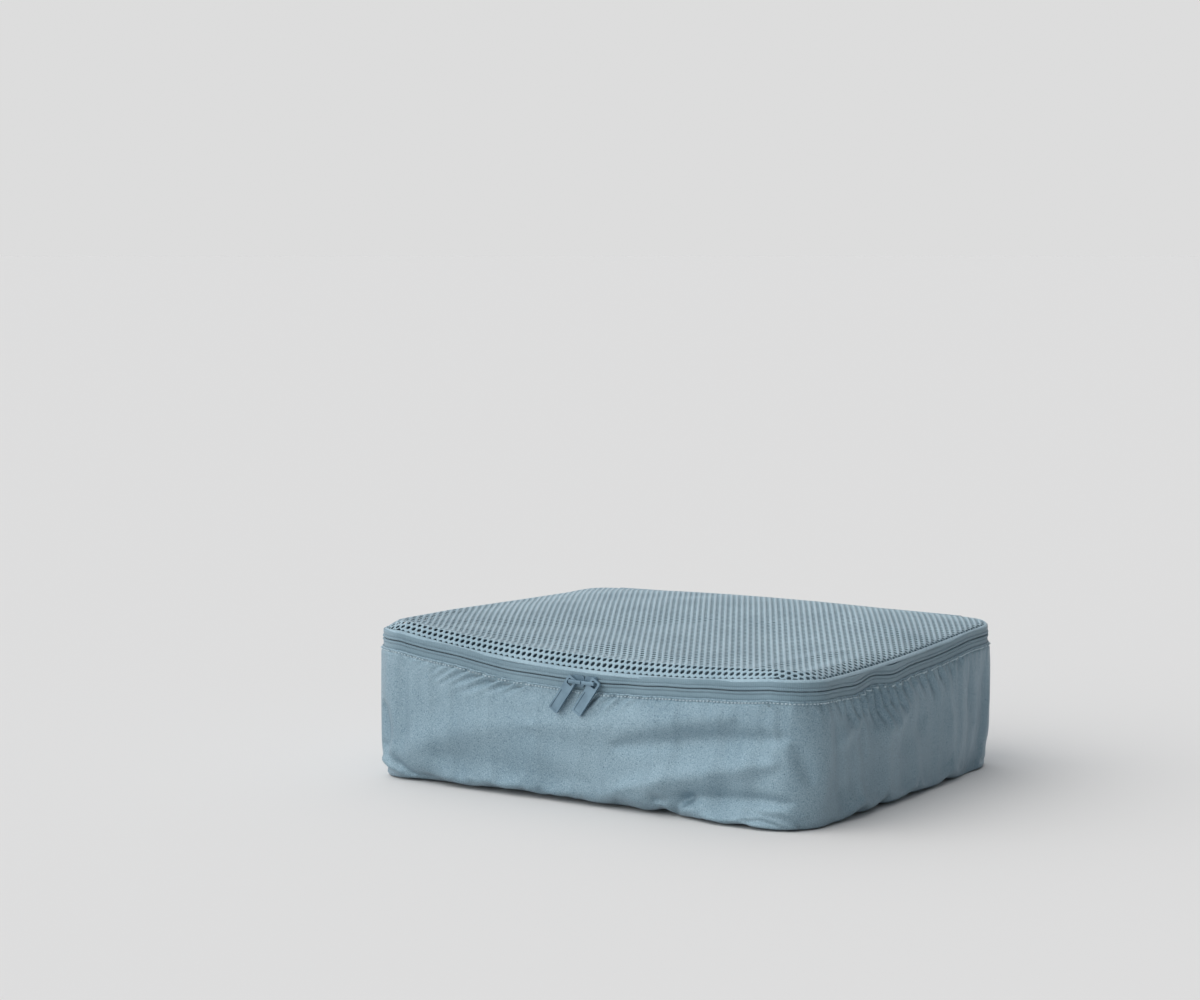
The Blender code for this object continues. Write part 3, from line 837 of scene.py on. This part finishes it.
def addBase():
    columns, rows = base["columns"], base["rows"]
    ways = np.linspace(-roundTrip, roundTrip, 1601)
    edgeX, edgeY = insideOutline(ways, footInset(ways) + base["gap"])
    bearing = np.arctan2(edgeY, edgeX)
    order = np.argsort(bearing)
    lifted = (footHeight(ways) - wall["foot"])[order]
    reachOut = np.hypot(edgeX, edgeY)[order]
    bearing = bearing[order]

    def place(a, b):
        # a square grid drawn out to the outline, evenly from its middle
        ring = np.maximum(np.abs(a) / cube["halfLength"], np.abs(b) / cube["halfDepth"])
        angle = np.arctan2(b, a)
        square = np.hypot(a, b) / np.maximum(ring, 1e-6)
        reach = np.interp(angle, bearing, reachOut, period=2 * np.pi)
        scale = 1 + (reach / np.maximum(square, 1e-6) - 1) * ring ** 3
        x, y = a * scale, b * scale
        edge = np.clip((1 - ring) * 5, 0, 1)
        lift = np.interp(angle, bearing, lifted, period=2 * np.pi) * (1 - edge)
        ripple = base["ripple"] * (1 + np.sin(x * 38 + 1.0) * np.sin(y * 46 + 0.5)) * edge
        return np.stack((x, y, wall["foot"] + base["thickness"] + 0.0002 + lift + ripple), axis=-1)

    across = np.linspace(-cube["halfLength"], cube["halfLength"], columns + 1)
    deep = np.linspace(-cube["halfDepth"], cube["halfDepth"], rows + 1)
    panel = bentGrid("base_panel_cloth", across, deep, place)
    thicken(panel, base["thickness"])
    finishPiece(panel, nylonCloth, "shell_fabric", "case", "base_panel")


addBack()
addBase()
print(round(time.time() - begun, 1), "back and base made")

# zip tapes: a plain woven band that turns over the coil in a ridge

tape = {"step": 0.00053, "tooth": 0.0016, "thickness": 0.00045, "toothRelief": 0.00010}
upperProfile = (  # rise above the zip's line and distance out of its plane, in millimetres
    (0.28, -1.50), (0.32, -0.60), (0.50, 0.15), (0.95, 0.58), (1.50, 0.66), (2.05, 0.45), (2.50, -0.15),
    (2.72, -0.48), (3.00, -0.12), (3.60, 0.10), (5.00, 0.16), (6.30, 0.06), (6.80, -0.45), (6.90, -1.20),
)


def addTape(name, sign, profile, body, *nodes):
    run = zipEnd - 0.0045
    along = np.linspace(-run, run, round(2 * run / tape["step"]) + 1)
    rise = np.array([p[0] for p in profile]) / 1000 * sign
    off = np.array([p[1] for p in profile]) / 1000
    order = np.argsort(np.arange(len(profile)) * sign)
    rise, off = rise[order], off[order]
    length = np.concatenate(([0.0], np.cumsum(np.hypot(np.diff(rise), np.diff(off)))))

    def place(a, v):
        up = np.interp(v, length, rise)
        out = np.interp(v, length, off)
        onRidge = np.exp(-((np.abs(up) - 0.0015) / 0.0008) ** 2)
        out = out + tape["toothRelief"] * onRidge * np.sin(a * (2 * math.pi / tape["tooth"]))
        return onZip(a, up, out)

    piece = bentGrid(name, along, length, place)
    thicken(piece, tape["thickness"])
    finishPiece(piece, zipCloth, "zip_tape", body, *nodes)


lowerProfile = upperProfile[:10] + ((5.40, 0.10), (7.00, 0.00), (9.00, -0.10), (12.00, -0.10))
addTape("zip_tape_lower_cloth", -1, lowerProfile, "case", "zip_tape_lower")
addTape("zip_tape_upper_cloth", 1, upperProfile, "lid", "zip_tape_upper")
print(round(time.time() - begun, 1), "zip tapes woven")

# the coils: a loop of nylon for every tooth

coil = {"pitch": 0.0016, "depth": 0.0021, "radius": 0.00095, "wire": 0.00030}


def addCoil(name, sign, body, *nodes):
    run = zipEnd - 0.0055
    bm = bmesh.new()
    upright = Matrix.Translation((coil["radius"], 0, 0)) @ Matrix.Rotation(math.pi / 2, 4, "X")
    bmesh.ops.create_circle(bm, segments=5, radius=coil["wire"], matrix=upright)
    bmesh.ops.spin(bm, geom=bm.verts[:] + bm.edges[:], cent=(0, 0, 0), axis=(0, 0, 1),
                   angle=2 * math.pi, steps=8, use_merge=True)
    bmesh.ops.remove_doubles(bm, verts=bm.verts, dist=0.00001)
    bmesh.ops.recalc_face_normals(bm, faces=bm.faces)
    lay = Matrix.Rotation(math.radians(68), 4, "Y") @ Matrix.Diagonal((1.0, 0.75, 1.0, 1.0))
    bmesh.ops.transform(bm, matrix=lay, verts=bm.verts)
    repeatAlong(bm, round(2 * run / coil["pitch"]), (coil["pitch"], 0, 0))
    piece = addPiece(name, bm)
    start = -run + coil["pitch"] * (0.5 + 0.25 * sign)
    bendRow(piece, start, sign * 0.0012, lambda t: np.full(t.shape, -coil["depth"]))
    finishPiece(piece, coilNylon, "zip_coil", body, *nodes)


addCoil("zip_coil_lower_loops", -1, "case", "zip_coil_lower")
addCoil("zip_coil_upper_loops", 1, "lid", "zip_coil_upper")
print(round(time.time() - begun, 1), "coils wound")

# seam bindings and the folded tabs at the zip's ends

binding = {"thickness": 0.0008, "step": 0.003, "width": 0.006, "baseInset": 0.0094, "baseRise": 0.0026}


def addBinding(name, runEnd, rises, out, body, *nodes):
    count = round(2 * runEnd / binding["step"])
    stations = np.linspace(-runEnd, runEnd, count + 1)
    low, high = rises
    width = high - low

    def place(a, v):
        swell = 0.0003 * np.sin(np.pi * v / width)
        return onZip(a, low + v, out + swell)

    piece = bentGrid(name, stations, np.linspace(0, width, 6), place)
    thicken(piece, binding["thickness"])
    finishPiece(piece, ribbon, "binding_tape", body, *nodes)


addBinding("rim_seam_ribbon", zipEnd - 0.006, (-0.0120, -0.0056), -0.0011, "case", "rim_seam_binding")
addBinding("lid_seam_ribbon", zipEnd - 0.006, (0.0050, 0.0068), -0.0016, "lid", "lid_seam_binding")


def addBaseBinding():
    around = np.linspace(-roundTrip, roundTrip, 361)
    width = binding["width"]

    def place(a, v):
        x, y = insideOutline(a, binding["baseInset"] + (width - v))
        z = footHeight(a) * 0.6 + binding["baseRise"] + 0.0003 * np.sin(np.pi * v / width)
        return np.stack((x, y, z), axis=-1)

    piece = bentGrid("base_seam_ribbon", around, np.linspace(0, width, 6)[::-1], place, closed=True)
    thicken(piece, binding["thickness"])
    finishPiece(piece, ribbon, "binding_tape", "case", "base_seam_binding")


def addHingeBinding():
    half = backHigh.x - 0.0004
    width = binding["width"]
    hingeLow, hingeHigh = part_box("hinge_seam_binding")

    def place(a, v):
        y = hingeHigh.y + 0.0002 * np.sin(np.pi * v / width)
        return np.stack((-a, y, hingeLow.z + v), axis=-1)

    piece = bentGrid("hinge_seam_ribbon", np.linspace(-half, half, 121), np.linspace(0, width, 6), place)
    thicken(piece, binding["thickness"])
    finishPiece(piece, ribbon, "binding_tape", "case", "hinge_seam_binding")


endTab = {"length": 0.0165, "height": 0.0192, "below": 0.0122, "bulge": 0.0009, "thickness": 0.0009}


def addEndTab(name, side, *nodes):
    start = zipEnd - endTab["length"]
    stations = np.linspace(start, zipEnd - 0.0002, 13) * side
    rises = np.linspace(0, endTab["height"], 15)

    def place(a, v):
        share = (np.abs(a) - start) / (zipEnd - start)
        hump = np.sin(np.pi * np.clip(share * 1.2, 0, 1)) * np.sin(np.pi * v / endTab["height"])
        return onZip(a, v - endTab["below"], 0.0004 + endTab["bulge"] * hump)

    if side < 0:
        stations = stations[::-1]
    piece = bentGrid(name, stations, rises, place)
    thicken(piece, endTab["thickness"], 1)
    finishPiece(piece, ribbon, "binding_tape", "case", *nodes)


addBaseBinding()
addHingeBinding()
addEndTab("zip_end_tab_left_ribbon", -1, "zip_end_tab_left")
addEndTab("zip_end_tab_right_ribbon", 1, "zip_end_tab_right")
print(round(time.time() - begun, 1), "bindings sewn")

# the lid: knitted net with round holes and a hem at its edge

net = {"pitch": 0.0053, "hole": 0.54, "thickness": 0.0006, "crown": 0.010, "crownPower": 3,
       "edgeRoll": 0.0030, "rollWidth": 0.006, "hem": 0.0019,
       "lip": 0.0050, "lipIn": 0.012, "lipWidth": 0.012,
       "cut": (0.400, 0.325), "area": 0.090}

netFolds = (
    (((-150, -110), (-60, -60), (20, 10)), 22, -1.2),
    (((160, -120), (110, -50), (60, 20)), 20, -1.2),
    (((-60, -140), (0, -100), (70, -120)), 14, 1.0),
    (((-180, 20), (-110, 60), (-40, 120)), 18, -1.0),
    (((190, 40), (120, 70), (40, 130)), 18, 1.1),
    (((130, -150), (150, -100), (170, -40)), 9, 1.0),
)


def edgeDistance(x, y):
    # how far inside the zip's outline a plan place is
    cornerX = np.maximum(np.abs(x) - straightX, 0)
    cornerY = np.maximum(np.abs(y) - straightY, 0)
    flat = np.minimum(cube["halfLength"] - np.abs(x), cube["halfDepth"] - np.abs(y))
    return np.where((cornerX > 0) & (cornerY > 0), radius - np.hypot(cornerX, cornerY), flat)


def netTop(x, y):
    edge = (1 - (x / cube["halfLength"]) ** 2) * (1 - (y / cube["halfDepth"]) ** 2)
    crown = net["crown"] * (1 - (1 - np.clip(edge, 0, 1)) ** net["crownPower"])
    inside = edgeDistance(x, y)
    d = np.clip(inside / net["rollWidth"], 0, 1)
    lip = np.exp(-((inside - net["lipIn"]) / net["lipWidth"]) ** 2) * np.clip(inside / net["lipIn"], 0, 1)
    frontal = np.clip(0.4 - y / cube["halfDepth"] * 0.8 - x / cube["halfLength"] * 0.3, 0, 1)
    edgeTop = rimHeight(x, y) + cube["lidRise"] + net["thickness"]
    z = edgeTop + crown + net["lip"] * lip * frontal - net["edgeRoll"] * (1 - d) ** 2
    for line, width, height in netFolds:
        z = z + foldOf(x, y, line, width, height) * np.clip(inside / 0.02, 0, 1)
    return z


def addNet():
    pitch = net["pitch"]
    rowGap = pitch * math.sqrt(3) / 2
    columns = int(cube["halfLength"] / pitch) + 1
    pairs = int(cube["halfDepth"] / (2 * rowGap)) + 1
    bm = bmesh.new()
    for x, y in ((0, 0), (pitch / 2, rowGap)):
        corner = Matrix.Translation((x - columns * pitch, y - 2 * pairs * rowGap, 0))
        bmesh.ops.create_circle(bm, cap_ends=True, radius=pitch / math.sqrt(3), segments=6,
                                matrix=corner)
    repeatAlong(bm, 2 * columns, (pitch, 0, 0))
    repeatAlong(bm, 2 * pairs, (0, 2 * rowGap, 0))
    tiles = np.array([face.calc_center_median()[:2] for face in bm.faces])
    spare = edgeDistance(tiles[:, 0], tiles[:, 1]) < 0.30 * pitch
    bmesh.ops.delete(bm, geom=[face for face, out in zip(bm.faces, spare) if out], context="FACES")
    bmesh.ops.remove_doubles(bm, verts=bm.verts, dist=pitch * 0.05)
    holes = bm.faces[:]
    bmesh.ops.inset_individual(bm, faces=holes, thickness=pitch / 2 * (1 - net["hole"]))
    bmesh.ops.delete(bm, geom=holes, context="FACES_ONLY")
    plan = np.array([vert.co[:2] for vert in bm.verts])
    inside = edgeDistance(plan[:, 0], plan[:, 1])
    over = np.clip(0.0004 - inside, 0, None)
    centreX = np.sign(plan[:, 0]) * np.minimum(np.abs(plan[:, 0]), straightX)
    centreY = np.sign(plan[:, 1]) * np.minimum(np.abs(plan[:, 1]), straightY)
    awayX, awayY = plan[:, 0] - centreX, plan[:, 1] - centreY
    away = np.maximum(np.hypot(awayX, awayY), 1e-6)
    plan[:, 0] -= over * awayX / away
    plan[:, 1] -= over * awayY / away
    height = netTop(plan[:, 0], plan[:, 1])
    for vert, (x, y), z in zip(bm.verts, plan, height):
        vert.co = (x, y, z)
    around = np.linspace(-roundTrip, roundTrip, 481)
    hem = bentGrid("hem", around, np.linspace(0, net["hem"], 4)[::-1], hemPoint, closed=True)
    bm.from_mesh(hem.data)
    bpy.data.objects.remove(hem)
    piece = addPiece("lid_net_knit", bm)
    thicken(piece, net["thickness"])
    finishPiece(piece, yarn, "lid_net", "lid", "lid_net")
    print(round(time.time() - begun, 1), "net knitted with", len(holes), "holes")


def hemPoint(a, v):
    x, y = insideOutline(a, 0.0003 + v)
    return np.stack((x, y, netTop(x, y) + 0.0001), axis=-1)


addNet()

# the soft hinge, where the lid is sewn to the back panel

hinge = {
    "profile": ((0.1655, 0.1120), (0.1654, 0.1150), (0.1648, 0.1168), (0.1636, 0.1178),
                (0.1622, 0.1183), (0.1575, 0.1200)),   # back and up, from the panel on to the net
    "bendFrom": (0.0, 0.1654, 0.1150),
    "bendTo": (0.0, 0.1615, 0.1190),
    "thickness": 0.0006,
}


def addHinge():
    half = backHigh.x - 0.001
    profile = hinge["profile"]
    legs = [math.dist(p, q) for p, q in zip(profile, profile[1:])]
    length = np.concatenate(([0.0], np.cumsum(legs)))

    def place(a, v):
        y = np.interp(v, length, [p[0] for p in profile])
        z = np.interp(v, length, [p[1] for p in profile])
        onNet = np.clip((cube["halfDepth"] - y) / 0.0008, 0, 1)
        z = z + (netTop(-a, y) + 0.0005 - z) * onNet
        return np.stack((-a, y, z), axis=-1)

    piece = bentGrid("hinge_strip", np.linspace(-half, half, 101), np.linspace(0, length[-1], 13), place)
    thicken(piece, hinge["thickness"])
    finishPiece(piece, nylonCloth, "shell_fabric", None)
    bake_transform(piece)


addHinge()

# the row of topstitching below the zip


def addTopstitch():
    run = zipEnd - 0.004
    bm = bmesh.new()
    size = Matrix.Diagonal((stitch["length"] / 2, stitch["radius"], stitch["radius"], 1.0))
    bmesh.ops.create_uvsphere(bm, u_segments=6, v_segments=5, radius=1.0, matrix=size)
    repeatAlong(bm, int(2 * run / stitch["pitch"]), (stitch["pitch"], 0, 0))
    piece = addPiece("gusset_topstitch", bm)
    rise = -wall["seamBelow"] - stitch["belowSeam"]
    bendRow(piece, -run + stitch["pitch"] / 2, rise,
            lambda t: np.interp(t, seamPlace, seamFace) - rimWander(t)[1] + stitch["proud"])
    finishPiece(piece, thread, "shell_fabric", "case")


addTopstitch()
print(round(time.time() - begun, 1), "topstitched")

# sliders and pull tabs keep their moulded shapes; flat bars take the crowns' place

crown = {"height": 0.0027, "leg": 0.0020, "thick": 0.0017, "edge": 0.0004, "sunk": 0.0003}


def addCrown(name, body, node):
    # a flat staple over the slider's plate, which holds the pull tab
    low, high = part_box(node)
    middle = (low + high) / 2
    half = (high.x - low.x) / 2
    bm = bmesh.new()
    bar = Matrix.Diagonal((2 * half, crown["thick"], crown["height"], 1.0))
    bmesh.ops.create_cube(bm, size=1.0, matrix=bar)
    for side in (-1, 1):
        bmesh.ops.bisect_plane(bm, geom=bm.verts[:] + bm.edges[:] + bm.faces[:],
                               plane_co=(side * (half - crown["leg"]), 0, 0), plane_no=(1, 0, 0))
    ends = [face for face in bm.faces
            if face.normal.y > 0.9 and abs(face.calc_center_median().x) > half - crown["leg"]]
    for face in ends:
        leg = bmesh.ops.extrude_face_region(bm, geom=[face])["geom"]
        foot = [part for part in leg if isinstance(part, bmesh.types.BMVert)]
        reach = high.y - low.y - crown["thick"] + crown["sunk"]
        bmesh.ops.translate(bm, vec=(0, reach, 0), verts=foot)
        bmesh.ops.delete(bm, geom=[face], context="FACES_ONLY")
    bmesh.ops.bevel(bm, geom=bm.edges[:], offset=crown["edge"], segments=2, profile=0.5,
                    affect="EDGES", material=-1)
    bmesh.ops.recalc_face_normals(bm, faces=bm.faces)
    tilt = math.asin((middle.x - cube["lowX"]) / cube["frontArcRadius"])
    spot = Vector((middle.x, low.y + crown["thick"] / 2, middle.z))
    put = Matrix.Translation(spot) @ Matrix.Rotation(-tilt, 4, "Y")
    bmesh.ops.transform(bm, matrix=put, verts=bm.verts)
    finishPiece(addPiece(name, bm), zinc, "painted_zinc", body, node)


addCrown("slider_crown_left_bar", "left_slider", "slider_crown_left")
addCrown("slider_crown_right_bar", "right_slider", "slider_crown_right")
for name in ("slider_left", "slider_right", "pull_tab_left", "pull_tab_right"):
    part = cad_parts[name]
    part.data.materials.clear()
    part.data.materials.append(zinc)
print(round(time.time() - begun, 1), "sliders painted")
